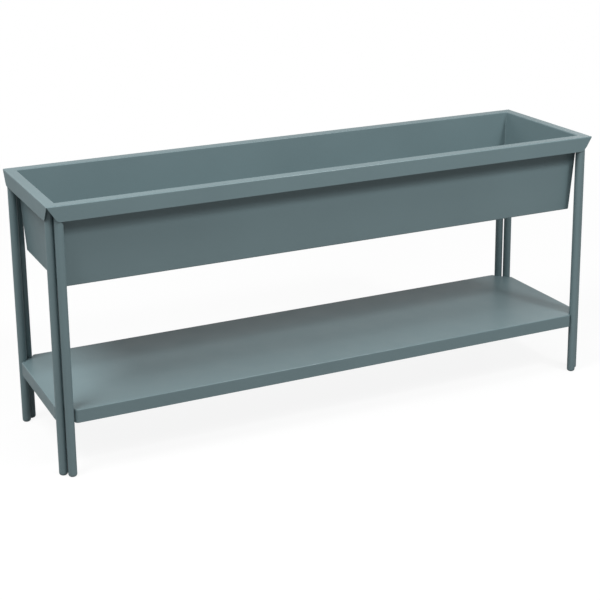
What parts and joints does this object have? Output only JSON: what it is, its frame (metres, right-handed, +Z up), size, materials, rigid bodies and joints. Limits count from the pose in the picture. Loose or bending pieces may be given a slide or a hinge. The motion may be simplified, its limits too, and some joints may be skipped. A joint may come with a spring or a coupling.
{
  "type": "raised planter on legs",
  "caption": "Long folded steel trough with a lipped rim, carried at each corner by a leg of paired round tubes, with a flat folded-edge shelf low between the legs.",
  "frame": {"origin": "on the ground under the middle of the planter", "axes": "+X along the length to the right as seen from the front, +Y from front to back, +Z up"},
  "size_m": [1.2, 0.32, 0.538],
  "materials": {
    "powder_coat": "satin",
    "foot_plastic": "matte",
    "zinc_steel": "zinc plated",
    "stopper_rubber": "matte"
  },
  "bodies": {
    "planter": {"planting_trough": "powder_coat", "lower_shelf": "powder_coat", "leg_tube_front_left_end": "powder_coat", "leg_tube_front_left_side": "powder_coat", "leg_tube_front_right_end": "powder_coat", "leg_tube_front_right_side": "powder_coat", "leg_tube_back_left_end": "powder_coat", "leg_tube_back_left_side": "powder_coat", "leg_tube_back_right_end": "powder_coat", "leg_tube_back_right_side": "powder_coat", "foot_plug_front_left_end": "foot_plastic", "foot_plug_front_left_side": "foot_plastic", "foot_plug_front_right_end": "foot_plastic", "foot_plug_front_right_side": "foot_plastic", "foot_plug_back_left_end": "foot_plastic", "foot_plug_back_left_side": "foot_plastic", "foot_plug_back_right_end": "foot_plastic", "foot_plug_back_right_side": "foot_plastic", "leg_head_plate_front_left": "powder_coat", "leg_head_plate_front_right": "powder_coat", "leg_head_plate_back_left": "powder_coat", "leg_head_plate_back_right": "powder_coat", "shelf_bracket_front_left": "powder_coat", "shelf_bracket_front_right": "powder_coat", "shelf_bracket_back_left": "powder_coat", "shelf_bracket_back_right": "powder_coat", "rim_studs": "zinc_steel", "rim_washers": "zinc_steel", "rim_nuts": "zinc_steel", "shelf_studs": "zinc_steel", "shelf_washers": "zinc_steel", "shelf_nuts": "zinc_steel"},
    "drain_stopper_1": {"drain_stopper_1": "stopper_rubber"},
    "drain_stopper_2": {"drain_stopper_2": "stopper_rubber"},
    "drain_stopper_3": {"drain_stopper_3": "stopper_rubber"}
  },
  "joints": [
    {"name": "drain_stopper_1_lift", "type": "slide", "parent": "planter", "child": "drain_stopper_1", "axis": [0, 0, 1], "range_m": [0, 0.03]},
    {"name": "drain_stopper_2_lift", "type": "slide", "parent": "planter", "child": "drain_stopper_2", "axis": [0, 0, 1], "range_m": [0, 0.03]},
    {"name": "drain_stopper_3_lift", "type": "slide", "parent": "planter", "child": "drain_stopper_3", "axis": [0, 0, 1], "range_m": [0, 0.03]}
  ]
}
